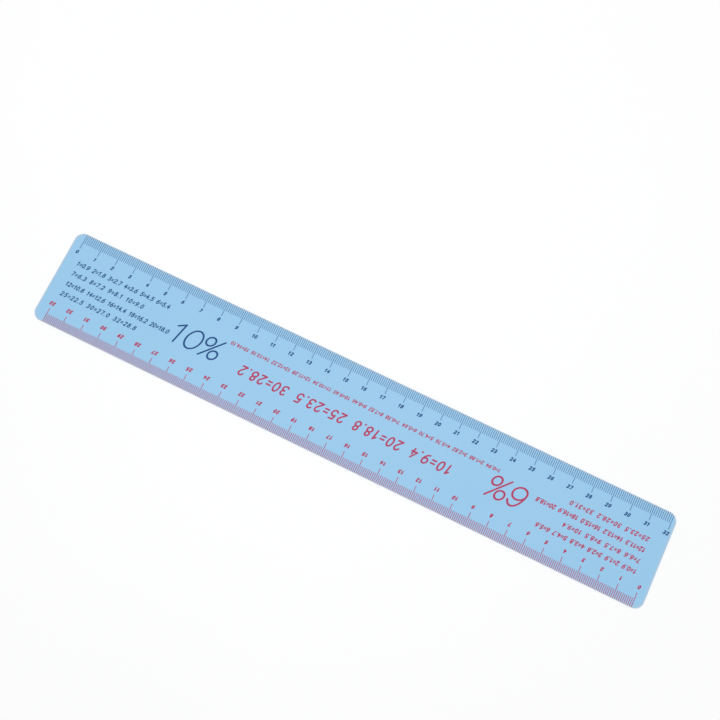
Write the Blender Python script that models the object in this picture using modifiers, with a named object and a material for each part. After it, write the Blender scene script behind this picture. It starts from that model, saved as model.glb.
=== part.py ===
"""Shrinkage ruler: a thin plastic strip with a stretched centimetre scale along each long edge.

Clay shrinks as it dries and is fired. A piece that reads 20 on the ten percent scale while it is wet
measures 20 true centimetres when it is done. A marked centimetre is therefore a true centimetre
divided by what the shrinkage leaves over, and every mark below is placed by that rule.

Frame: the origin is the middle of the underside. +X runs the way the ten percent scale reads, +Y
points to the ten percent edge and +Z out of the printed face. The six percent scale reads the other
way round, from the opposite edge.
"""
import math

import bmesh
import bpy
from mathutils import Matrix, Vector

# Strip
STRIP_LENGTH = 0.3633
STRIP_WIDTH = 0.0544
STRIP_THICKNESS = 0.0008
CORNER_RADIUS = 0.005
RIM_EASE = 0.00012

# Ink, drawn a little thicker than a real film of ink so that it stays a solid
INK_RELIEF = 0.00005
INK_ROOT = 0.0002
INK_SEAT = 0.00001

# What both scales share
TRUE_CENTIMETRE = 0.01
DIVISIONS = 10
ZERO_INSET = 0.0052
LAST_INSET = 0.0015
MARK_RIM = 0.0002

# Ten percent scale
TEN_SHRINKAGE_SHARE = 0.10
TEN_LINE = 0.00022
TEN_SHORT_MARK = 0.0051
TEN_LONG_MARK = 0.0085

# Six percent scale
SIX_SHRINKAGE_SHARE = 0.06
SIX_LINE = 0.00033
SIX_SHORT_MARK = 0.0045
SIX_LONG_MARK = 0.0077

# Large figures: each centre is measured from the strip's end where its scale begins to read
TEN_FIGURE_HEIGHT = 0.0124
TEN_FIGURE_STROKE = 0.00095
TEN_FIGURE_RISE = -0.00025
TEN_ONE_CENTRE = 0.0781
TEN_ZERO_CENTRE = 0.08675
TEN_SIGN_CENTRE = 0.0978
SIX_FIGURE_HEIGHT = 0.0125
SIX_FIGURE_STROKE = 0.00100
SIX_FIGURE_RISE = 0.0011
SIX_SIX_CENTRE = 0.0817
SIX_SIGN_CENTRE = 0.0928

# Shapes of the figures, as shares of a figure's height, about its middle and before it leans
LEAN_SHARE = 0.26
ONE_FLAG_SHARES = (-0.278, 0.272)
ZERO_HALF_WIDTH_SHARE = 0.338
RING_HALF_WIDTH_SHARE = 0.198
RING_HALF_HEIGHT_SHARE = 0.2115
RING_OFFSET_SHARES = (0.226, 0.262)
SLASH_OFFSET_SHARES = (0.321, 0.492)
BOWL_HALF_WIDTH_SHARE = 0.300
BOWL_HALF_HEIGHT_SHARE = 0.288
TAIL_HALF_WIDTH_SHARE = 0.341

# The six's tail starts at the bowl's left flank, goes over the top and stops on the right
TAIL_START = math.radians(180)
TAIL_STOP = math.radians(42)

# Facets: a quarter turn at a corner, a whole turn of a ring, a half turn at a stroke's end and the tail
CORNER_FACETS = 8
RING_FACETS = 32
CAP_FACETS = 8
TAIL_FACETS = 16
PANEL_LENGTH = 0.011
PANEL_MARGIN = 0.005

# Colours, as linear red, green and blue
SHEET_BLUE = (0.305, 0.563, 0.805)
INK_NAVY = (0.005, 0.054, 0.180)
INK_CRIMSON = (0.400, 0.035, 0.105)
SHEET_ROUGHNESS = 0.42
INK_ROUGHNESS = 0.35

# What only serves the making
WELD_REACH = 0.000001
RIM_ANGLE = math.radians(60)
SHARP_ANGLE = math.radians(40)
FLAT_ANGLE = math.radians(1)
UPWARD_SHARE = 0.5
ALONG = Vector((1, 0, 0))
ACROSS = Vector((0, 1, 0))

WHOLE_TURN = math.tau
HALF_TURN = math.tau / 2
QUARTER_TURN = math.tau / 4


def clear_scene():
    for old in list(bpy.data.objects):
        bpy.data.objects.remove(old, do_unlink=True)


def new_collection(name):
    collection = bpy.data.collections.new(name)
    bpy.context.scene.collection.children.link(collection)
    return collection


def new_material(name, colour, roughness):
    material = bpy.data.materials.new(name)
    material.use_nodes = True
    shader = material.node_tree.nodes["Principled BSDF"]
    shader.inputs["Base Color"].default_value = (*colour, 1)
    shader.inputs["Roughness"].default_value = roughness
    shader.inputs["Metallic"].default_value = 0
    return material


def new_empty(name, turn, parent, collection):
    empty = bpy.data.objects.new(name, None)
    empty.rotation_euler.z = turn
    empty.parent = parent
    collection.objects.link(empty)
    return empty


def as_cutter(tool):
    tool.hide_render = True
    tool.display_type = "WIRE"


# Outlines

def rounded_rectangle(length, width, radius):
    """Corner arcs of a rectangle, anticlockwise from its right end."""
    points = []
    for quarter, (side_x, side_y) in enumerate(((1, 1), (-1, 1), (-1, -1), (1, -1))):
        centre = Vector((side_x * (length / 2 - radius), side_y * (width / 2 - radius)))
        for step in range(CORNER_FACETS + 1):
            angle = QUARTER_TURN * (quarter + step / CORNER_FACETS)
            points.append(centre + radius * Vector((math.cos(angle), math.sin(angle))))
    return points


def ellipse(centre, half_width, half_height):
    points = []
    for step in range(RING_FACETS):
        angle = WHOLE_TURN * step / RING_FACETS
        points.append(centre + Vector((half_width * math.cos(angle), half_height * math.sin(angle))))
    return points


def stroke(path, width):
    """Outline of a line of even width with round ends, drawn along a path."""
    half = width / 2
    ways = [(after - before).normalized() for before, after in zip(path, path[1:])]
    normals = [Vector((-way.y, way.x)) for way in ways]
    sides = [normals[0]]
    for before, after in zip(normals, normals[1:]):
        middle = (before + after).normalized()
        sides.append(middle / middle.dot(after))
    sides.append(normals[-1])
    left = [point + side * half for point, side in zip(path, sides)]
    right = [point - side * half for point, side in zip(path, sides)]
    far_end = round_end(path[-1], normals[-1] * half)
    near_end = round_end(path[0], -normals[0] * half)
    return left + far_end + right[::-1] + near_end


def round_end(centre, arm):
    """Points of a half turn, clockwise from an arm and without its two ends."""
    points = []
    for step in range(1, CAP_FACETS):
        turn = Matrix.Rotation(-HALF_TURN * step / CAP_FACETS, 2)
        points.append(centre + turn @ arm)
    return points


def leaning(points, middle):
    """Lean a figure to the right about its middle."""
    return [Vector((point.x + LEAN_SHARE * (point.y - middle.y), point.y)) for point in points]


# Solids

def flat_solid(name, outlines, thickness, collection):
    """A flat piece between its outlines, as a mesh whose middle plane is at zero height."""
    curve = bpy.data.curves.new(name, "CURVE")
    curve.dimensions = "2D"
    curve.fill_mode = "BOTH"
    curve.extrude = thickness / 2
    for outline in outlines:
        spline = curve.splines.new("POLY")
        spline.points.add(len(outline) - 1)
        for control, point in zip(spline.points, outline):
            control.co = (point.x, point.y, 0, 1)
        spline.use_cyclic_u = True
    drawn = bpy.data.objects.new(name + "_outline", curve)
    collection.objects.link(drawn)
    evaluated = drawn.evaluated_get(bpy.context.evaluated_depsgraph_get())
    mesh = bpy.data.meshes.new_from_object(evaluated)
    mesh.name = name
    weld(mesh)
    piece = bpy.data.objects.new(name, mesh)
    piece.matrix_world = drawn.matrix_world
    collection.objects.link(piece)
    bpy.data.objects.remove(drawn, do_unlink=True)
    bpy.data.curves.remove(curve)
    return piece


def weld(mesh):
    shell = bmesh.new()
    shell.from_mesh(mesh)
    bmesh.ops.remove_doubles(shell, verts=shell.verts, dist=WELD_REACH)
    bmesh.ops.recalc_face_normals(shell, faces=shell.faces)
    shell.to_mesh(mesh)
    shell.free()


def divide_top(mesh):
    """Divide the flat top into panels, so that the facets between the marks stay short."""
    shell = bmesh.new()
    shell.from_mesh(mesh)
    bmesh.ops.dissolve_limit(shell, angle_limit=FLAT_ANGLE, verts=shell.verts, edges=shell.edges)
    count = math.floor(STRIP_LENGTH / PANEL_LENGTH)
    places = [number * STRIP_LENGTH / count - STRIP_LENGTH / 2 for number in range(1, count)]
    cuts = [(ALONG * place, ALONG) for place in places]
    band = STRIP_WIDTH / 2 - max(TEN_LONG_MARK, SIX_LONG_MARK) - PANEL_MARGIN
    cuts += [(ACROSS * band, ACROSS), (ACROSS * -band, ACROSS)]
    for place, way in cuts:
        top = [face for face in shell.faces if face.normal.z > UPWARD_SHARE]
        edges = {edge for face in top for edge in face.edges}
        bmesh.ops.bisect_plane(shell, geom=top + list(edges), plane_co=place, plane_no=way)
    shell.to_mesh(mesh)
    shell.free()


def join(piece, tool, name):
    """Unite a piece with a hidden tool."""
    union = piece.modifiers.new(name, "BOOLEAN")
    union.operation = "UNION"
    union.solver = "EXACT"
    union.object = tool
    as_cutter(tool)


# Strip and its graduations

def corner_inset(end_distance):
    """How far the rounded corner takes the long edge in, at a distance from the strip's end."""
    reach = CORNER_RADIUS - end_distance
    if reach <= 0:
        return 0
    return CORNER_RADIUS - math.sqrt(CORNER_RADIUS ** 2 - reach ** 2)


def mark_places(shrinkage_share):
    """Places of a scale's marks from its zero end, each with whether it is a whole centimetre."""
    marked_centimetre = TRUE_CENTIMETRE / (1 - shrinkage_share)
    span = STRIP_LENGTH - ZERO_INSET - LAST_INSET
    count = math.floor(span / marked_centimetre)
    for number in range(count * DIVISIONS + 1):
        place = ZERO_INSET + number * marked_centimetre / DIVISIONS
        yield place, number % DIVISIONS == 0


def graduations(name, shrinkage_share, line, short_mark, long_mark, side, ink, materials, tools):
    """All marks of one scale as bars that reach down into the sheet."""
    bars = bmesh.new()
    height = INK_RELIEF + INK_ROOT
    level = STRIP_THICKNESS + INK_RELIEF - height / 2
    edge = STRIP_WIDTH / 2 - RIM_EASE - MARK_RIM
    for place, whole in mark_places(shrinkage_share):
        length = long_mark if whole else short_mark
        inner = edge - length
        outer = edge - corner_inset(min(place, STRIP_LENGTH - place) - RIM_EASE - MARK_RIM)
        middle = Vector((place - STRIP_LENGTH / 2, (inner + outer) / 2, level))
        size = Matrix.Diagonal((line, outer - inner, height, 1))
        bmesh.ops.create_cube(bars, size=1, matrix=Matrix.Translation(middle) @ size)
    for face in bars.faces:
        face.material_index = materials.index(ink)
    mesh = bpy.data.meshes.new(name)
    bars.to_mesh(mesh)
    bars.free()
    for material in materials:
        mesh.materials.append(material)
    tool = bpy.data.objects.new(name, mesh)
    tool.parent = side
    tools.objects.link(tool)
    return tool


def make_strip(root, sides, sheet, navy, crimson, parts, tools):
    outline = rounded_rectangle(STRIP_LENGTH, STRIP_WIDTH, CORNER_RADIUS)
    strip = flat_solid("strip", [outline], STRIP_THICKNESS, parts)
    divide_top(strip.data)
    strip.location.z = STRIP_THICKNESS / 2
    strip.parent = root
    materials = [sheet, navy, crimson]
    for material in materials:
        strip.data.materials.append(material)
    rim = strip.modifiers.new("eased_rim", "BEVEL")
    rim.width = RIM_EASE
    rim.segments = 1
    rim.limit_method = "ANGLE"
    rim.angle_limit = RIM_ANGLE
    ten_marks = graduations("ten_percent_marks", TEN_SHRINKAGE_SHARE, TEN_LINE, TEN_SHORT_MARK, TEN_LONG_MARK,
                            sides["ten"], navy, materials, tools)
    six_marks = graduations("six_percent_marks", SIX_SHRINKAGE_SHARE, SIX_LINE, SIX_SHORT_MARK, SIX_LONG_MARK,
                            sides["six"], crimson, materials, tools)
    join(strip, ten_marks, "ten_percent_scale")
    join(strip, six_marks, "six_percent_scale")
    facets = strip.modifiers.new("even_facets", "TRIANGULATE")
    facets.quad_method = "BEAUTY"
    facets.ngon_method = "BEAUTY"


# Large figures

class FigureSet:
    """The large figures of one scale: where they stand and how they are drawn."""

    def __init__(self, prefix, height, stroke_width, rise, side, ink, parts, tools):
        self.prefix = prefix
        self.height = height
        self.stroke_width = stroke_width
        self.rise = rise
        self.side = side
        self.ink = ink
        self.parts = parts
        self.tools = tools

    def middle(self, from_end):
        return Vector((from_end - STRIP_LENGTH / 2, self.rise))

    def half_height(self):
        return (self.height - self.stroke_width) / 2

    def lay(self, name, outlines, middle, collection):
        """Lay leaning outlines on the strip as a film of ink."""
        leant = [leaning(outline, middle) for outline in outlines]
        piece = flat_solid(name, leant, INK_RELIEF, collection)
        piece.location.z = STRIP_THICKNESS + INK_SEAT + INK_RELIEF / 2
        piece.parent = self.side
        piece.data.materials.append(self.ink)
        piece.data.shade_smooth()
        piece.data.set_sharp_from_angle(angle=SHARP_ANGLE)
        return piece

    def line(self, name, path, middle, collection):
        return self.lay(name, [stroke(path, self.stroke_width)], middle, collection)

    def ring(self, name, centre, half_width, half_height, middle):
        half = self.stroke_width / 2
        outlines = [
            ellipse(centre, half_width + half, half_height + half),
            ellipse(centre, half_width - half, half_height - half),
        ]
        return self.lay(name, outlines, middle, self.parts)

    def one(self, from_end):
        middle = self.middle(from_end)
        top = middle + Vector((0, self.half_height()))
        foot = middle - Vector((0, self.half_height()))
        flag_tip = middle + Vector(ONE_FLAG_SHARES) * self.height
        stem = self.line(self.prefix + "_figure_one", [top, foot], middle, self.parts)
        flag = self.line(self.prefix + "_one_flag", [top, flag_tip], middle, self.tools)
        join(stem, flag, "flag")

    def zero(self, from_end):
        middle = self.middle(from_end)
        half_width = ZERO_HALF_WIDTH_SHARE * self.height
        self.ring(self.prefix + "_figure_zero", middle, half_width, self.half_height(), middle)

    def six(self, from_end):
        middle = self.middle(from_end)
        bowl_half_width = BOWL_HALF_WIDTH_SHARE * self.height
        bowl_half_height = BOWL_HALF_HEIGHT_SHARE * self.height
        centre = middle + Vector((0, bowl_half_height - self.half_height()))
        bowl = self.ring(self.prefix + "_figure_six", centre, bowl_half_width, bowl_half_height, middle)
        tail_half_width = TAIL_HALF_WIDTH_SHARE * self.height
        tail_half_height = 2 * self.half_height() - bowl_half_height
        tail_centre = centre + Vector((tail_half_width - bowl_half_width, 0))
        path = []
        for step in range(TAIL_FACETS + 1):
            angle = TAIL_START + (TAIL_STOP - TAIL_START) * step / TAIL_FACETS
            arm = Vector((tail_half_width * math.cos(angle), tail_half_height * math.sin(angle)))
            path.append(tail_centre + arm)
        tail = self.line(self.prefix + "_six_tail", path, middle, self.tools)
        join(bowl, tail, "tail")

    def percent_sign(self, from_end):
        middle = self.middle(from_end)
        half_width = RING_HALF_WIDTH_SHARE * self.height
        half_height = RING_HALF_HEIGHT_SHARE * self.height
        right, up = Vector(RING_OFFSET_SHARES) * self.height
        upper = middle + Vector((-right, up))
        lower = middle + Vector((right, -up))
        self.ring(self.prefix + "_percent_upper_ring", upper, half_width, half_height, middle)
        self.ring(self.prefix + "_percent_lower_ring", lower, half_width, half_height, middle)
        reach = Vector(SLASH_OFFSET_SHARES) * self.height
        self.line(self.prefix + "_percent_slash", [middle - reach, middle + reach], middle, self.parts)


def main():
    clear_scene()
    parts = new_collection("shrinkage_ruler")
    tools = new_collection("cutters")
    sheet = new_material("sheet", SHEET_BLUE, SHEET_ROUGHNESS)
    navy = new_material("navy_ink", INK_NAVY, INK_ROUGHNESS)
    crimson = new_material("crimson_ink", INK_CRIMSON, INK_ROUGHNESS)
    root = new_empty("shrinkage_ruler", 0, None, parts)
    sides = {
        "ten": new_empty("ten_percent_side", 0, root, parts),
        "six": new_empty("six_percent_side", HALF_TURN, root, parts),
    }
    make_strip(root, sides, sheet, navy, crimson, parts, tools)
    ten = FigureSet("ten", TEN_FIGURE_HEIGHT, TEN_FIGURE_STROKE, TEN_FIGURE_RISE,
                    sides["ten"], navy, parts, tools)
    ten.one(TEN_ONE_CENTRE)
    ten.zero(TEN_ZERO_CENTRE)
    ten.percent_sign(TEN_SIGN_CENTRE)
    six = FigureSet("six", SIX_FIGURE_HEIGHT, SIX_FIGURE_STROKE, SIX_FIGURE_RISE,
                    sides["six"], crimson, parts, tools)
    six.six(SIX_SIX_CENTRE)
    six.percent_sign(SIX_SIGN_CENTRE)


if __name__ == "__main__":
    main()
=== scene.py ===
"""Dresses the shrinkage ruler: its satin sheet, both printed scales, their numbers and a small studio.

Everything is in metres, in the ruler's own frame: the origin is the middle of the underside, +X runs the
way the ten percent scale reads, +Y points to the ten percent edge and +Z out of the printed face. The six
percent scale is printed the same way after half a turn.
"""

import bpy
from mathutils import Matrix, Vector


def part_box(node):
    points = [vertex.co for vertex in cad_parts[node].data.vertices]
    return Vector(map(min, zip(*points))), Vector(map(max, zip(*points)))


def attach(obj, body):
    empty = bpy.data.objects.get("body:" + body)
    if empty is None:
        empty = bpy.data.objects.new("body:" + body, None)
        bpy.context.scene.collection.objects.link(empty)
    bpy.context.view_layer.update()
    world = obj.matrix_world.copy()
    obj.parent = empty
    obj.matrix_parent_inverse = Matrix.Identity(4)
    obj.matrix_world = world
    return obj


bl_info = {
    "name": "Shrinkage ruler",
    "version": (1, 0, 0),
    "blender": (4, 5, 0),
    "location": "View3D > Sidebar > Ruler",
    "description": "Prints and finishes a potter's shrinkage ruler and sets it in a small studio",
    "category": "Object",
}

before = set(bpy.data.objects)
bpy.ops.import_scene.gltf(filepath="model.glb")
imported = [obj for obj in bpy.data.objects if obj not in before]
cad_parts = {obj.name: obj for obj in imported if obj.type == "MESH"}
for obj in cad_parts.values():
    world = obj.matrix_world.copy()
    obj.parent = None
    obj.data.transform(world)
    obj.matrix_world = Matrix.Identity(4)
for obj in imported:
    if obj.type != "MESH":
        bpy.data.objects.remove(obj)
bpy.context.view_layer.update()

import math

import bmesh
import bpy
from bpy.props import FloatProperty, FloatVectorProperty, PointerProperty
from mathutils import Matrix, Vector

BODY = "root"

# The strip: its box is read from the frame, and its raised bars stand proud of its face
STRIP_LOW, STRIP_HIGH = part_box("strip")
LENGTH = STRIP_HIGH.x - STRIP_LOW.x
WIDTH = STRIP_HIGH.y - STRIP_LOW.y
MARK_RELIEF = 0.00005
FACE = STRIP_HIGH.z - MARK_RELIEF
CORNER_RADIUS = 0.005
RIM_EASE = 0.00012

# Marks: both scales start the same distance from the end where they begin to read, and stop short of the
# other end
TRUE_CENTIMETRE = 0.01
DIVISIONS = 10
ZERO_INSET = 0.0052
LAST_INSET = 0.0015

# The raised bars start inside the eased rim, and the film of ink reaches just past them
MARK_RIM = 0.0002
MARK_OVERLAP = 0.000003
MARK_DRAFT = 0.000002

# Film of ink for the numbers
INK_RELIEF = 0.00004
INK_SINK = 0.00002
STROKE_DRAFT_SHARE = 0.10

# Facets, and the least cosine of half a bend at which a mitre is still full
ARC_STEP = math.radians(18)
CAP_FACETS = 6
MITRE_LIMIT = math.sqrt(0.5)

# Figures, drawn as shares of their height: the middle of the foot is at zero, angles are in degrees
LEAN_SHARE = 0.26
ADVANCE_SHARE = 0.72
NARROW_ADVANCE_SHARES = {"1": 0.62, ".": 0.36, "=": 0.66, " ": 0.70}
DOT_REACH_SHARE = 0.03

# Finishes: noise between its low and its high value is spread from nothing to one
NOISE_LOW = 0.3
NOISE_HIGH = 0.7
GRAIN_NOISE = {"Detail": 3, "Roughness": 0.6}
CLOUD_NOISE = {"Detail": 4, "Roughness": 0.5}

# A rub is smoother than the sheet by its polish, and takes its share of the grain's depth
RUB_NOISE = {"Scale": 1, "Detail": 2}
RUB_LOW = 0.62
RUB_HIGH = 0.78
RUB_POLISH = 0.10
RUB_DEPTH_SHARE = 0.5

# How far the grain takes the roughness down and up
SHEET_SPREAD = (-0.03, 0.05)
INK_SPREAD = (-0.04, 0.06)
SHEET_IOR = 1.46
INK_IOR = 1.5
FLOOR_ROUGHNESS = 0.9
WHITE = (1, 1, 1, 1)


def length(name, default, description):
    return FloatProperty(name=name, description=description, default=default, min=0, precision=5,
                         subtype="DISTANCE", unit="LENGTH")


def share(name, default, description):
    return FloatProperty(name=name, description=description, default=default, min=0, max=1,
                         subtype="FACTOR")


def colour(name, default, description):
    return FloatVectorProperty(name=name, description=description, default=default, min=0, max=1,
                               subtype="COLOR")


def angle(name, degrees, description):
    return FloatProperty(name=name, description=description, default=math.radians(degrees), subtype="ANGLE",
                         unit="ROTATION")


class SheetSettings(bpy.types.PropertyGroup):
    """The plastic strip."""
    colour: colour("Sheet", (0.301, 0.552, 0.785), "Pale blue of the plastic")
    deep: colour("Sheet, deeper", (0.288, 0.541, 0.778), "Blue of the deeper clouds in the plastic")
    # The rim colour, width and share paint shade: a greyer band along the outline stands in for the cut
    # edge seen in shade.
    rim: colour("Edge shade colour", (0.500, 0.540, 0.600), "Pale grey of the die-cut rim, lit from its side")
    rim_width: length("Rim width", 0.0016, "How far the greyer rim reaches in from the edge")
    rim_share: share("Rim share", 0.5, "How far the colour goes to the rim's at the very edge")
    roughness: share("Roughness", 0.44, "Roughness of the satin face")
    gloss: share("Gloss", 0.32, "How strongly the satin face mirrors")
    grain: length("Grain", 0.00035, "Size of the fine moulded grain")
    grain_depth: length("Grain depth", 0.000002, "Depth of the fine moulded grain")
    cloud: length("Clouds", 0.05, "Size of the soft clouds of colour")
    rub_length: length("Rub length", 0.05, "Length of a faint rub")
    rub_width: length("Rub width", 0.0002, "Width of a faint rub")


class InkSettings(bpy.types.PropertyGroup):
    """The two printing inks."""
    navy: colour("Dark blue ink", (0.003, 0.058, 0.205), "Ink of the ten percent scale")
    crimson: colour("Crimson ink", (0.435, 0.032, 0.100), "Ink of the six percent scale")
    roughness: share("Roughness", 0.46, "Roughness of the dried ink")
    gloss: share("Gloss", 0.14, "How strongly the dried ink mirrors")
    fade: share("Fade", 0.03, "How far the thin places of the ink go towards the sheet's colour")
    thin_place: length("Thin places", 0.004, "Size of the thin places of the ink")


class TenScaleSettings(bpy.types.PropertyGroup):
    """The scale for a shrinkage of ten percent."""
    shrinkage: share("Shrinkage", 0.10, "Share of its length that the clay loses")
    line: length("Mark width", 0.00022, "Width of a millimetre mark")
    long_line: length("Long mark width", 0.00025, "Width of a centimetre mark")
    short_mark: length("Short mark", 0.0051, "Length of a millimetre mark")
    long_mark: length("Long mark", 0.0085, "Length of a centimetre mark")
    figure_height: length("Figure height", 0.00235, "Height of the scale's figures")
    figure_stroke: length("Figure stroke", 0.00059, "Stroke width of the scale's figures")
    figure_foot: length("Figure foot", 0.01225, "Distance from the edge to the foot of the figures")
    figure_shift: length("Figure shift", 0.0004, "How far the figures stand before their marks")
    table_stroke: length("Table stroke", 0.00053, "Stroke width in the size table")


class SixScaleSettings(bpy.types.PropertyGroup):
    """The scale for a shrinkage of six percent."""
    shrinkage: share("Shrinkage", 0.06, "Share of its length that the clay loses")
    line: length("Mark width", 0.00033, "Width of a millimetre mark")
    long_line: length("Long mark width", 0.00034, "Width of a centimetre mark")
    short_mark: length("Short mark", 0.0045, "Length of a millimetre mark")
    long_mark: length("Long mark", 0.0077, "Length of a centimetre mark")
    figure_height: length("Figure height", 0.0024, "Height of the scale's figures")
    figure_stroke: length("Figure stroke", 0.00065, "Stroke width of the scale's figures")
    figure_foot: length("Figure foot", 0.0124, "Distance from the edge to the foot of the figures")
    figure_shift: length("Figure shift", 0.0001, "How far the figures stand before their marks")
    table_stroke: length("Table stroke", 0.00059, "Stroke width in the size table")


class RowSettings(bpy.types.PropertyGroup):
    """The rows of plain numbers between the scales."""
    table_height: length("Table figures", 0.0028, "Height of the figures in the size tables")
    heading_height: length("Large row figures", 0.0062, "Height of the figures in the large row")
    heading_stroke: length("Large row stroke", 0.00096, "Stroke width in the large row")
    note_height: length("Small row figures", 0.0023, "Height of the figures in the small row")
    note_stroke: length("Small row stroke", 0.00047, "Stroke width in the small row")


class StudioSettings(bpy.types.PropertyGroup):
    """Floor, light and camera."""
    floor: colour("Floor", (0.955, 0.957, 0.960), "Pale floor")
    floor_light: colour("Floor, lighter", (0.965, 0.967, 0.970), "Lighter clouds of the floor")
    floor_grain: length("Floor grain", 0.0008, "Size of the floor's fine grain")
    floor_cloud: length("Floor clouds", 0.3, "Size of the floor's soft clouds")
    fade_start: length("Fade start", 0.19, "How far from its middle the floor starts to fade to white")
    fade_stop: length("Fade stop", 0.45, "How far from its middle the floor is white")
    ambient: FloatProperty(name="Ambient", description="Strength of the even light from all round",
                           default=0.55, min=0)
    lamp_power: FloatProperty(name="Lamp", description="Power of the soft lamp overhead", default=9,
                              min=0, subtype="POWER", unit="POWER")
    lamp_size: length("Lamp size", 1.1, "Side of the soft lamp")
    lamp_height: length("Lamp height", 1.2, "Height of the soft lamp above the floor")
    camera_height: length("Camera height", 0.47403, "Height of the camera above the floor")
    camera_tilt: angle("Camera tilt", 10.68, "Tilt of the camera away from looking straight down")
    camera_roll: angle("Camera roll", -0.62, "Sideways tilt of the camera")
    camera_turn: angle("Camera turn", 25.72, "Turn of the picture on the floor")


# Camera, with its sensor and lens in millimetres, then the floor, just under the strip, and the lamp
CAMERA_ALONG = 0.02623
CAMERA_ACROSS = -0.05323
SENSOR_WIDTH = 36
LENS = 43.95
FLOOR_HALF = 3
FLOOR_DROP = 0.00002
LAMP_ALONG = -0.05
LAMP_ACROSS = 0.10

# Rows of numbers, read from the zero end of their scale and from its edge. A size table gives for each of
# its rows how far the foot lies from the edge, where the row stops, and the marked sizes in it.
TABLE_DECIMALS = 1
TEN_TABLE_START = 0.0076
TEN_TABLE_ROWS = (
    (0.0183, 0.0661, (1, 2, 3, 4, 5, 6)),
    (0.0246, 0.0531, (7, 8, 9, 10)),
    (0.0310, 0.0721, (12, 14, 16, 18, 20)),
    (0.0372, 0.0551, (25, 30, 32)),
)
SIX_TABLE_START = 0.0092
SIX_TABLE_ROWS = (
    (0.0189, 0.0671, (1, 2, 3, 4, 5, 6)),
    (0.0250, 0.0541, (7, 8, 9, 10)),
    (0.0312, 0.0721, (12, 14, 16, 18, 20)),
    (0.0374, 0.0551, (25, 30, 33)),
)
HEADING_START = 0.1182
HEADING_STOP = 0.2462
HEADING_FOOT = 0.0264
HEADING_SIZES = (10, 20, 25, 30)
HEADING_DECIMALS = 1
NOTE_START = 0.0952
NOTE_STOP = 0.2572
NOTE_FOOT = 0.0358
NOTE_SIZES = tuple(range(1, 16))
NOTE_DECIMALS = 2


# Reading frames

def reading_frame(side):
    """The frame of one scale: u runs from the strip's end along the reading way, v points to its edge."""
    turn = Matrix.Identity(4) if side == "ten" else Matrix.Rotation(math.pi, 4, "Z")
    corner = Matrix.Translation((-LENGTH / 2, WIDTH / 2, FACE))
    return turn @ corner


def corner_inset(end_distance):
    """How far the rounded corner takes the long edge in, at a distance from the strip's end."""
    reach = CORNER_RADIUS - end_distance
    if reach <= 0:
        return 0
    return CORNER_RADIUS - math.sqrt(CORNER_RADIUS ** 2 - reach ** 2)


def mark_places(shrinkage):
    """Places of a scale's marks from its zero end, each with its whole centimetre or None."""
    marked_centimetre = TRUE_CENTIMETRE / (1 - shrinkage)
    count = math.floor((LENGTH - ZERO_INSET - LAST_INSET) / marked_centimetre)
    for number in range(count * DIVISIONS + 1):
        whole, part = divmod(number, DIVISIONS)
        yield ZERO_INSET + number * marked_centimetre / DIVISIONS, None if part else whole


# Strokes and figures

def arc(centre, radii, start, stop):
    """Points of an elliptical arc between two angles in degrees."""
    first = math.radians(start)
    sweep = math.radians(stop) - first
    count = math.ceil(abs(sweep) / ARC_STEP)
    points = []
    for step in range(count + 1):
        at = first + sweep * step / count
        points.append(Vector((centre[0] + radii[0] * math.cos(at), centre[1] + radii[1] * math.sin(at))))
    return points


def ring(centre, radii):
    """A closed stroke round an ellipse."""
    return arc(centre, radii, 0, 360)[:-1], True


def bow(centre, radii, start, stop):
    """An open stroke along an arc."""
    return arc(centre, radii, start, stop), False


def line(*points):
    """An open stroke from point to point."""
    return [Vector(point) for point in points], False


def dot(height):
    """A stroke so short that its round ends make a dot."""
    return line((-DOT_REACH_SHARE, height), (DOT_REACH_SHARE, height))


def turned(strokes):
    """The same strokes after half a turn about the figure's middle."""
    return [([Vector((-point.x, 1 - point.y)) for point in points], closed) for points, closed in strokes]


SIX_STROKES = [
    ring((0, 0.30), (0.27, 0.30)),
    bow((0.28, 0.36), (0.55, 0.64), 184, 98),
]
FIGURES = {
    "0": [ring((0, 0.50), (0.27, 0.50))],
    "1": [line((-0.18, 0.76), (0.05, 1.0)), line((0.05, 1.0), (0.05, 0))],
    "2": [
        line(*arc((0, 0.72), (0.25, 0.28), 165, -35), (-0.27, 0)),
        line((-0.27, 0), (0.27, 0)),
    ],
    "3": [
        bow((-0.02, 0.745), (0.24, 0.255), 150, -96),
        bow((-0.02, 0.26), (0.28, 0.26), 96, -150),
    ],
    "4": [
        line((0.08, 1.0), (-0.28, 0.33)),
        line((-0.28, 0.33), (0.30, 0.33)),
        line((0.14, 0.62), (0.14, 0)),
    ],
    "5": [
        line((0.25, 1.0), (-0.15, 1.0)),
        line((-0.15, 1.0), (-0.20, 0.54)),
        bow((-0.01, 0.32), (0.28, 0.32), 132, -150),
    ],
    "6": SIX_STROKES,
    "7": [line((-0.27, 1.0), (0.27, 1.0)), line((0.27, 1.0), (-0.06, 0))],
    "8": [ring((0, 0.765), (0.21, 0.235)), ring((0, 0.27), (0.27, 0.27))],
    "9": turned(SIX_STROKES),
    ".": [dot(0)],
    "=": [line((-0.20, 0.28), (0.20, 0.28)), line((-0.20, 0.64), (0.20, 0.64))],
    " ": [],
}


def sides_of(path, closed):
    """Mitred side arms of a path, one for each of its points."""
    count = len(path)
    pairs = range(count) if closed else range(count - 1)
    ways = [(path[(number + 1) % count] - path[number]).normalized() for number in pairs]
    normals = [Vector((-way.y, way.x)) for way in ways]
    sides = []
    for number in range(count):
        before = normals[number - 1] if closed or number else normals[0]
        after = normals[number] if number < len(normals) else normals[-1]
        middle = (before + after).normalized()
        sides.append(middle / max(middle.dot(after), MITRE_LIMIT))
    return sides


def round_end(centre, arm):
    """Points of a half turn, clockwise from an arm and without its two ends."""
    turns = [Matrix.Rotation(-math.pi * step / CAP_FACETS, 2) for step in range(1, CAP_FACETS)]
    return [centre + turn @ arm for turn in turns]


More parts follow.
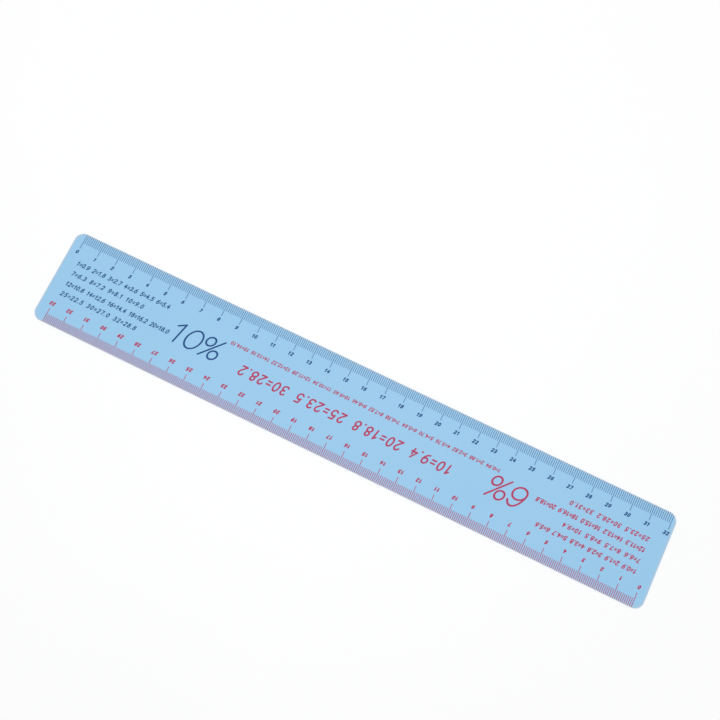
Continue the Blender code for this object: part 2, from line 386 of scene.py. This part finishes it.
def outlines(path, closed, width):
    """Outer outline of a stroke and, for a closed one, its inner outline, both anticlockwise."""
    sides = sides_of(path, closed)
    left = [point + side * width / 2 for point, side in zip(path, sides)]
    right = [point - side * width / 2 for point, side in zip(path, sides)]
    if closed:
        return right, left
    far_end = round_end(path[-1], sides[-1].normalized() * width / 2)
    near_end = round_end(path[0], -sides[0].normalized() * width / 2)
    return (left + far_end + right[::-1] + near_end)[::-1], None


def level_ring(mesh, outline, height):
    """New corners along an outline, all at one height."""
    return [mesh.verts.new((point.x, point.y, height)) for point in outline]


def bridge(mesh, lower, upper):
    """Walls between two rings of as many points."""
    for number, corner in enumerate(lower):
        after = (number + 1) % len(lower)
        mesh.faces.new((corner, lower[after], upper[after], upper[number]))


def stroke_solid(path, closed, width, draft, low, high):
    """One stroke of a figure as a closed film with slightly sloping flanks."""
    mesh = bmesh.new()
    base_outer, base_inner = outlines(path, closed, width)
    top_outer, top_inner = outlines(path, closed, width - draft)
    base = level_ring(mesh, base_outer, low)
    top = level_ring(mesh, top_outer, high)
    bridge(mesh, base, top)
    if closed:
        base_hole = level_ring(mesh, base_inner, low)
        top_hole = level_ring(mesh, top_inner, high)
        bridge(mesh, top_hole, base_hole)
        bridge(mesh, top, top_hole)
        bridge(mesh, base_hole, base)
    else:
        mesh.faces.new(top)
        mesh.faces.new(base[::-1])
    bmesh.ops.recalc_face_normals(mesh, faces=mesh.faces)
    return mesh


def united(solids):
    """One clean mesh from overlapping solids."""
    objects = []
    for number, solid in enumerate(solids):
        mesh = bpy.data.meshes.new(f"stroke_{number}")
        solid.to_mesh(mesh)
        solid.free()
        piece = bpy.data.objects.new(mesh.name, mesh)
        bpy.context.scene.collection.objects.link(piece)
        objects.append(piece)
    first = objects[0]
    for tool in objects[1:]:
        union = first.modifiers.new(tool.name, "BOOLEAN")
        union.operation = "UNION"
        union.solver = "EXACT"
        union.object = tool
    evaluated = first.evaluated_get(bpy.context.evaluated_depsgraph_get())
    made = bpy.data.meshes.new_from_object(evaluated)
    for piece in objects:
        bpy.data.objects.remove(piece, do_unlink=True)
    return made


class Pen:
    """Writes rows of figures of one height and stroke, and keeps each figure's mesh once it is drawn."""

    def __init__(self, height, stroke):
        self.height = height
        self.stroke_share = stroke / height
        self.drawn = {}

    def figure(self, character):
        """The mesh of one upright figure, as a share of its height."""
        if character not in self.drawn:
            width = self.stroke_share
            draft = width * STROKE_DRAFT_SHARE
            low = -INK_SINK / self.height
            high = INK_RELIEF / self.height
            fit = Matrix.Diagonal((1 - width, 1 - width))
            lift = Vector((0, width / 2))
            solids = []
            for path, closed in FIGURES[character]:
                fitted = [fit @ point + lift for point in path]
                solids.append(stroke_solid(fitted, closed, width, draft, low, high))
            self.drawn[character] = united(solids)
        return self.drawn[character]

    def advance(self, character):
        """The room that a figure takes in its row."""
        return self.height * NARROW_ADVANCE_SHARES.get(character, ADVANCE_SHARE)

    def width(self, text):
        """The room that a whole row takes."""
        return sum(self.advance(character) for character in text)

    def write(self, ink, text, place, start, foot, spread=1):
        """Add a row to a mesh of ink, from its start along the reading way and at its foot's distance."""
        lean = Matrix.Identity(4)
        lean[0][1] = LEAN_SHARE
        for character in text:
            step = self.advance(character) * spread
            if FIGURES[character]:
                to_row = Matrix.Translation((start + step / 2, -foot, 0))
                before = len(ink.verts)
                ink.from_mesh(self.figure(character))
                ink.verts.ensure_lookup_table()
                new = ink.verts[before:]
                size = Matrix.Scale(self.height, 4)
                bmesh.ops.transform(ink, matrix=place @ to_row @ size @ lean, verts=new)
            start += step

    def fill(self, ink, text, place, start, stop, foot):
        """Add a row that is spread out evenly from its start to its stop."""
        self.write(ink, text, place, start, foot, (stop - start) / self.width(text))

    def clear(self):
        """Forget the figures, once their copies are in the ink."""
        for mesh in self.drawn.values():
            bpy.data.meshes.remove(mesh)
        self.drawn = {}


def ink_piece(name, ink, material):
    """A printed piece that rides with the strip."""
    mesh = bpy.data.meshes.new(name)
    ink.to_mesh(mesh)
    ink.free()
    mesh.materials.append(material)
    piece = bpy.data.objects.new(name, mesh)
    bpy.context.scene.collection.objects.link(piece)
    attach(piece, BODY)


# Materials

class Graph:
    """Short calls for building a node tree."""

    def __init__(self, tree):
        self.tree = tree

    def node(self, kind, values=None, **settings):
        """A new node with its settings made, then its inputs fed by name or number."""
        made = self.tree.nodes.new(kind)
        for name, value in settings.items():
            setattr(made, name, value)
        for name, value in (values or {}).items():
            self.feed(made.inputs[name], value)
        return made

    def feed(self, socket, value):
        """Link another node's output to a socket, or set the socket itself to a plain value."""
        if isinstance(value, bpy.types.NodeSocket):
            self.tree.links.new(value, socket)
        else:
            socket.default_value = value

    def maths(self, operation, first, second=0):
        return self.node("ShaderNodeMath", {0: first, 1: second}, operation=operation).outputs[0]

    def between(self, value, low, high, to_low, to_high):
        """A value spread from one range to another, and held to its ends."""
        values = {"Value": value, "From Min": low, "From Max": high, "To Min": to_low, "To Max": to_high}
        return self.node("ShaderNodeMapRange", values).outputs["Result"]

    def seen(self):
        """One for the rays that see a thing or its mirror image, zero for those that light another."""
        path = self.node("ShaderNodeLightPath").outputs
        mirrored = self.maths("MAXIMUM", path["Is Glossy Ray"], path["Is Transmission Ray"])
        return self.maths("MAXIMUM", path["Is Camera Ray"], mirrored)

    def mix(self, mask, first, second):
        """One colour where the mask is nothing, the other where it is one."""
        made = self.node("ShaderNodeMix", data_type="RGBA")
        for name, value in (("Factor_Float", mask), ("A_Color", first), ("B_Color", second)):
            self.feed(next(socket for socket in made.inputs if socket.identifier == name), value)
        return next(socket for socket in made.outputs if socket.identifier == "Result_Color")


def new_group(name, inputs, outputs):
    """An empty shader node group with named number inputs and outputs."""
    tree = bpy.data.node_groups.new(name, "ShaderNodeTree")
    for socket in inputs:
        tree.interface.new_socket(socket, in_out="INPUT", socket_type="NodeSocketFloat")
    for socket in outputs:
        tree.interface.new_socket(socket, in_out="OUTPUT", socket_type="NodeSocketFloat")
    graph = Graph(tree)
    return graph, graph.node("NodeGroupInput").outputs, graph.node("NodeGroupOutput").inputs


def fine_grain_group():
    """Fine grain of a rolled or printed film, and broad clouds of colour."""
    name = "Fine grain"
    if name in bpy.data.node_groups:
        return bpy.data.node_groups[name]
    graph, given, result = new_group(name, ("Grain size", "Cloud size"), ("Height", "Clouds"))
    place = graph.node("ShaderNodeTexCoord").outputs["Object"]
    per_grain = graph.maths("DIVIDE", 1, given["Grain size"])
    per_cloud = graph.maths("DIVIDE", 1, given["Cloud size"])
    grain = graph.node("ShaderNodeTexNoise", {"Vector": place, "Scale": per_grain, **GRAIN_NOISE})
    clouds = graph.node("ShaderNodeTexNoise", {"Vector": place, "Scale": per_cloud, **CLOUD_NOISE})
    graph.feed(result["Height"], grain.outputs["Fac"])
    graph.feed(result["Clouds"], graph.between(clouds.outputs["Fac"], NOISE_LOW, NOISE_HIGH, 0, 1))
    return graph.tree


def rub_group():
    """Faint rubs along the strip, from being slid and wiped."""
    name = "Faint rubs"
    if name in bpy.data.node_groups:
        return bpy.data.node_groups[name]
    graph, given, result = new_group(name, ("Rub length", "Rub width"), ("Rubs",))
    place = graph.node("ShaderNodeTexCoord").outputs["Object"]
    along = graph.maths("DIVIDE", 1, given["Rub length"])
    across = graph.maths("DIVIDE", 1, given["Rub width"])
    stretch = graph.node("ShaderNodeCombineXYZ", {"X": along, "Y": across, "Z": along})
    drawn_out = graph.node("ShaderNodeVectorMath", {0: place, 1: stretch.outputs[0]}, operation="MULTIPLY")
    streaks = graph.node("ShaderNodeTexNoise", {"Vector": drawn_out.outputs[0], **RUB_NOISE})
    graph.feed(result["Rubs"], graph.between(streaks.outputs["Fac"], RUB_LOW, RUB_HIGH, 0, 1))
    return graph.tree


def rim_group():
    """How close a point is to the strip's outline, as the mask of the painted edge shade: one at the edge,
    nothing past the band's width.
    """
    name = "Strip rim"
    if name in bpy.data.node_groups:
        return bpy.data.node_groups[name]
    sizes = ("Half length", "Half width", "Corner radius", "Rim width")
    graph, given, result = new_group(name, sizes, ("Rim",))
    place = graph.node("ShaderNodeTexCoord").outputs["Object"]
    parts = graph.node("ShaderNodeSeparateXYZ", {"Vector": place}).outputs
    reaches = []
    for axis, half in (("X", "Half length"), ("Y", "Half width")):
        straight = graph.maths("SUBTRACT", given[half], given["Corner radius"])
        past = graph.maths("SUBTRACT", graph.maths("ABSOLUTE", parts[axis]), straight)
        reaches.append(past)
    outside = [graph.maths("POWER", graph.maths("MAXIMUM", past, 0), 2) for past in reaches]
    round_part = graph.maths("SQRT", graph.maths("ADD", *outside))
    flat_part = graph.maths("MINIMUM", graph.maths("MAXIMUM", *reaches), 0)
    from_arc = graph.maths("ADD", round_part, flat_part)
    inset = graph.maths("SUBTRACT", given["Corner radius"], from_arc)
    graph.feed(result["Rim"], graph.between(inset, 0, given["Rim width"], 1, 0))
    return graph.tree


def new_material(name):
    """A new material, its node tree and its shader's inputs."""
    material = bpy.data.materials.new(name)
    material.use_nodes = True
    graph = Graph(material.node_tree)
    return material, graph, graph.tree.nodes["Principled BSDF"].inputs


def opaque(rgb):
    return (*rgb, 1)


def fine_grain(graph, grain_size, cloud_size):
    """The outputs of fine grain placed in a material with its own sizes."""
    sizes = {"Grain size": grain_size, "Cloud size": cloud_size}
    return graph.node("ShaderNodeGroup", sizes, node_tree=fine_grain_group()).outputs


def rough_by(graph, height, roughness, spread):
    """Roughness that follows the grain, a little under and over its usual value."""
    return graph.between(height, NOISE_LOW, NOISE_HIGH, roughness + spread[0], roughness + spread[1])


def bumped(graph, height, depth):
    """The normal of a surface with a fine relief."""
    values = {"Strength": 1, "Distance": depth, "Height": height}
    return graph.node("ShaderNodeBump", values).outputs["Normal"]


def sheet_material(settings):
    """Satin plastic: fine grain, soft clouds, faint rubs and a greyer band along the outline, which is
    painted shade of the cut edge.
    """
    material, graph, shader = new_material("satin_sheet")
    grain = fine_grain(graph, settings.grain, settings.cloud)
    rub_sizes = {"Rub length": settings.rub_length, "Rub width": settings.rub_width}
    rubs = graph.node("ShaderNodeGroup", rub_sizes, node_tree=rub_group()).outputs["Rubs"]
    # Painted shade: the base colour goes towards the grey rim colour in a band along the outline, standing
    # in for the cut edge in shade.
    edge_shade_sizes = {
        "Half length": LENGTH / 2,
        "Half width": WIDTH / 2,
        "Corner radius": CORNER_RADIUS,
        "Rim width": settings.rim_width,
    }
    rim = graph.node("ShaderNodeGroup", edge_shade_sizes, node_tree=rim_group()).outputs["Rim"]
    clouded = graph.mix(grain["Clouds"], opaque(settings.colour), opaque(settings.deep))
    edge_shaded = graph.maths("MULTIPLY", rim, settings.rim_share)
    rough = rough_by(graph, grain["Height"], settings.roughness, SHEET_SPREAD)
    polish = graph.maths("MULTIPLY", rubs, RUB_POLISH)
    worn = graph.maths("SUBTRACT", grain["Height"], graph.maths("MULTIPLY", rubs, RUB_DEPTH_SHARE))
    graph.feed(shader["Base Color"], graph.mix(edge_shaded, clouded, opaque(settings.rim)))
    graph.feed(shader["Roughness"], graph.maths("SUBTRACT", rough, polish))
    graph.feed(shader["Normal"], bumped(graph, worn, settings.grain_depth))
    graph.feed(shader["IOR"], SHEET_IOR)
    graph.feed(shader["Specular IOR Level"], settings.gloss)
    return material


def ink_material(name, rgb, sheet, settings):
    """Screen-printed ink: a dense film, a little thinner here and there, that shows the sheet's grain."""
    material, graph, shader = new_material(name)
    grain = fine_grain(graph, sheet.grain, settings.thin_place)
    thin = graph.maths("MULTIPLY", grain["Clouds"], settings.fade)
    graph.feed(shader["Base Color"], graph.mix(thin, opaque(rgb), opaque(sheet.colour)))
    graph.feed(shader["Roughness"], rough_by(graph, grain["Height"], settings.roughness, INK_SPREAD))
    graph.feed(shader["Normal"], bumped(graph, grain["Height"], sheet.grain_depth))
    graph.feed(shader["IOR"], INK_IOR)
    graph.feed(shader["Specular IOR Level"], settings.gloss)
    return material


def floor_material(settings):
    """A plain matt floor that fades to white away from its middle, for the rays that see it."""
    material, graph, shader = new_material("pale_floor")
    grain = fine_grain(graph, settings.floor_grain, settings.floor_cloud)
    shade = graph.mix(grain["Clouds"], opaque(settings.floor), opaque(settings.floor_light))
    graph.feed(shader["Base Color"], shade)
    graph.feed(shader["Roughness"], FLOOR_ROUGHNESS)
    graph.feed(shader["Specular IOR Level"], 0)
    place = graph.node("ShaderNodeTexCoord").outputs["Object"]
    away = graph.node("ShaderNodeVectorMath", {0: place}, operation="LENGTH").outputs["Value"]
    far = graph.between(away, settings.fade_start, settings.fade_stop, 0, 1)
    white = graph.node("ShaderNodeEmission", {"Color": WHITE, "Strength": 1})
    blend = graph.node("ShaderNodeMixShader", {"Fac": graph.maths("MULTIPLY", far, graph.seen())})
    surface = graph.tree.nodes["Material Output"].inputs["Surface"]
    graph.feed(blend.inputs[1], surface.links[0].from_socket)
    graph.feed(blend.inputs[2], white.outputs["Emission"])
    graph.feed(surface, blend.outputs["Shader"])
    return material


def navy_ink():
    scene = bpy.context.scene
    return bpy.data.materials.get("dark_blue_ink") or ink_material(
        "dark_blue_ink", scene.ruler_ink.navy, scene.ruler_sheet, scene.ruler_ink)


def crimson_ink():
    scene = bpy.context.scene
    return bpy.data.materials.get("crimson_ink_film") or ink_material(
        "crimson_ink_film", scene.ruler_ink.crimson, scene.ruler_sheet, scene.ruler_ink)


# The record's material slot and the ink of each scale
SIDES = {
    "ten": ("navy_ink", navy_ink),
    "six": ("crimson_ink", crimson_ink),
}


def scale_of(side):
    """The settings of one scale."""
    return getattr(bpy.context.scene, f"ruler_{side}_scale")


# Operators

class RULER_OT_finish_sheet(bpy.types.Operator):
    """Give the strip its satin plastic"""
    bl_idname = "ruler.finish_sheet"
    bl_label = "Finish the sheet"

    def execute(self, context):
        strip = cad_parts["strip"]
        strip.data.materials.clear()
        strip.data.materials.append(sheet_material(context.scene.ruler_sheet))
        return {"FINISHED"}


class RULER_OT_ink_large_figures(bpy.types.Operator):
    """Ink the large figures that name each scale's shrinkage"""
    bl_idname = "ruler.ink_large_figures"
    bl_label = "Ink the large figures"

    def execute(self, context):
        for name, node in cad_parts.items():
            side = name.partition("_")[0]
            if side in SIDES:
                ink = SIDES[side][1]
                node.data.materials.clear()
                node.data.materials.append(ink())
        return {"FINISHED"}


class RULER_OT_print_graduations(bpy.types.Operator):
    """Print the marks of both scales over their raised bars"""
    bl_idname = "ruler.print_graduations"
    bl_label = "Print the graduations"

    def execute(self, context):
        for side, (slot_name, ink) in SIDES.items():
            scale = scale_of(side)
            place = reading_frame(side)
            marks = bmesh.new()
            for along, whole in mark_places(scale.shrinkage):
                if whole is None:
                    self.add_mark(marks, place, along, scale.short_mark, scale.line)
                else:
                    self.add_mark(marks, place, along, scale.long_mark, scale.long_line)
            ink_piece(f"{side}_percent_graduations", marks, ink())
        return {"FINISHED"}

    def add_mark(self, marks, place, along, mark_length, line_width):
        """One mark as a film over its raised bar, with steep flanks, trimmed by the rounded corner."""
        from_end = min(along, LENGTH - along) - RIM_EASE
        outer = RIM_EASE + corner_inset(from_end)
        inner = RIM_EASE + MARK_RIM + mark_length + MARK_OVERLAP
        half = line_width / 2 + MARK_OVERLAP
        levels = ((-INK_SINK, half + MARK_DRAFT), (MARK_RELIEF + MARK_OVERLAP, half))
        rings = []
        for height, reach in levels:
            corners = ((-reach, -inner), (reach, -inner), (reach, -outer), (-reach, -outer))
            rings.append([marks.verts.new(place @ Vector((along + u, v, height))) for u, v in corners])
        base, top = rings
        bridge(marks, base, top)
        marks.faces.new(top)
        marks.faces.new(base[::-1])


class RULER_OT_number_scales(bpy.types.Operator):
    """Print the number of each whole centimetre"""
    bl_idname = "ruler.number_scales"
    bl_label = "Number the scales"

    def execute(self, context):
        for side, (slot_name, ink) in SIDES.items():
            scale = scale_of(side)
            pen = Pen(scale.figure_height, scale.figure_stroke)
            numbers = bmesh.new()
            middle = scale.figure_height * LEAN_SHARE / 2
            for along, whole in mark_places(scale.shrinkage):
                if whole is not None:
                    start = along - scale.figure_shift - middle - pen.width(str(whole)) / 2
                    pen.write(numbers, str(whole), reading_frame(side), start, scale.figure_foot)
            ink_piece(f"{side}_percent_numbers", numbers, ink())
            pen.clear()
        return {"FINISHED"}


def size_pairs(sizes, shrinkage, decimals):
    """Marked sizes with the true sizes that they shrink to, as one row of plain numbers."""
    return " ".join(f"{size}={size * (1 - shrinkage):.{decimals}f}" for size in sizes)


class RULER_OT_print_size_tables(bpy.types.Operator):
    """Print a small table of marked and shrunk sizes before each large figure"""
    bl_idname = "ruler.print_size_tables"
    bl_label = "Print the size tables"

    def execute(self, context):
        height = context.scene.ruler_rows.table_height
        tables = (("ten", TEN_TABLE_START, TEN_TABLE_ROWS), ("six", SIX_TABLE_START, SIX_TABLE_ROWS))
        for side, start, rows in tables:
            slot_name, ink = SIDES[side]
            scale = scale_of(side)
            pen = Pen(height, scale.table_stroke)
            table = bmesh.new()
            for foot, stop, sizes in rows:
                text = size_pairs(sizes, scale.shrinkage, TABLE_DECIMALS)
                pen.fill(table, text, reading_frame(side), start, stop, foot)
            ink_piece(f"{side}_percent_size_table", table, ink())
            pen.clear()
        return {"FINISHED"}


class RULER_OT_print_middle_rows(bpy.types.Operator):
    """Print the large and the small row of numbers in the middle of the strip"""
    bl_idname = "ruler.print_middle_rows"
    bl_label = "Print the middle rows"

    def execute(self, context):
        rows = context.scene.ruler_rows
        shrinkage = scale_of("six").shrinkage
        slot_name, ink = SIDES["six"]
        made = (
            ("large_number_row", rows.heading_height, rows.heading_stroke,
             HEADING_SIZES, HEADING_DECIMALS, HEADING_START, HEADING_STOP, HEADING_FOOT),
            ("small_number_row", rows.note_height, rows.note_stroke,
             NOTE_SIZES, NOTE_DECIMALS, NOTE_START, NOTE_STOP, NOTE_FOOT),
        )
        for name, height, stroke, sizes, decimals, start, stop, foot in made:
            pen = Pen(height, stroke)
            row = bmesh.new()
            text = size_pairs(sizes, shrinkage, decimals)
            pen.fill(row, text, reading_frame("six"), start, stop, foot)
            ink_piece(name, row, ink())
            pen.clear()
        return {"FINISHED"}


class RULER_OT_build_studio(bpy.types.Operator):
    """Build the pale floor, the soft light and the camera"""
    bl_idname = "ruler.build_studio"
    bl_label = "Build the studio"

    def execute(self, context):
        settings = context.scene.ruler_studio
        self.lay_floor(settings)
        self.light(context.scene, settings)
        self.place_camera(context.scene, settings)
        context.scene.view_settings.view_transform = "Standard"
        return {"FINISHED"}

    def lay_floor(self, settings):
        """A wide plain floor just under the strip."""
        mesh = bpy.data.meshes.new("floor")
        plane = bmesh.new()
        bmesh.ops.create_grid(plane, x_segments=1, y_segments=1, size=FLOOR_HALF)
        plane.to_mesh(mesh)
        plane.free()
        mesh.materials.append(floor_material(settings))
        floor = bpy.data.objects.new("floor", mesh)
        floor.location.z = -FLOOR_DROP
        bpy.context.scene.collection.objects.link(floor)

    def light(self, scene, settings):
        """Even light from all round, white to the camera, and one soft lamp overhead."""
        world = bpy.data.worlds.new("studio_light")
        world.use_nodes = True
        graph = Graph(world.node_tree)
        background = graph.tree.nodes["Background"].inputs
        graph.feed(background["Strength"], graph.between(graph.seen(), 0, 1, settings.ambient, 1))
        graph.feed(background["Color"], WHITE)
        scene.world = world
        lamp = bpy.data.lights.new("soft_lamp", "AREA")
        lamp.size = settings.lamp_size
        lamp.energy = settings.lamp_power
        holder = bpy.data.objects.new("soft_lamp", lamp)
        holder.location = (LAMP_ALONG, LAMP_ACROSS, settings.lamp_height)
        scene.collection.objects.link(holder)

    def place_camera(self, scene, settings):
        """The camera at the photograph's angle."""
        camera = bpy.data.cameras.new("camera")
        camera.sensor_width = SENSOR_WIDTH
        camera.lens = LENS
        holder = bpy.data.objects.new("camera", camera)
        holder.location = (CAMERA_ALONG, CAMERA_ACROSS, settings.camera_height)
        holder.rotation_euler = (settings.camera_tilt, settings.camera_roll, settings.camera_turn)
        scene.collection.objects.link(holder)
        scene.camera = holder


SETTINGS = {
    "ruler_sheet": SheetSettings,
    "ruler_ink": InkSettings,
    "ruler_ten_scale": TenScaleSettings,
    "ruler_six_scale": SixScaleSettings,
    "ruler_rows": RowSettings,
    "ruler_studio": StudioSettings,
}
OPERATORS = (
    RULER_OT_finish_sheet,
    RULER_OT_ink_large_figures,
    RULER_OT_print_graduations,
    RULER_OT_number_scales,
    RULER_OT_print_size_tables,
    RULER_OT_print_middle_rows,
    RULER_OT_build_studio,
)


class RULER_PT_ruler(bpy.types.Panel):
    """The ruler's sizes, colours and steps"""
    bl_label = "Shrinkage ruler"
    bl_idname = "RULER_PT_ruler"
    bl_space_type = "VIEW_3D"
    bl_region_type = "UI"
    bl_category = "Ruler"

    def draw(self, context):
        for group in SETTINGS:
            box = self.layout.box()
            settings = getattr(context.scene, group)
            for name in settings.__annotations__:
                box.prop(settings, name)
        for operator in OPERATORS:
            self.layout.operator(operator.bl_idname)


CLASSES = (*SETTINGS.values(), *OPERATORS, RULER_PT_ruler)


def register():
    for made in CLASSES:
        bpy.utils.register_class(made)
    for name, group in SETTINGS.items():
        setattr(bpy.types.Scene, name, PointerProperty(type=group))


def unregister():
    for name in SETTINGS:
        delattr(bpy.types.Scene, name)
    for made in reversed(CLASSES):
        bpy.utils.unregister_class(made)


def main():
    register()
    for operator in OPERATORS:
        category, _, step = operator.bl_idname.partition(".")
        getattr(getattr(bpy.ops, category), step)()


if __name__ == "__main__":
    main()
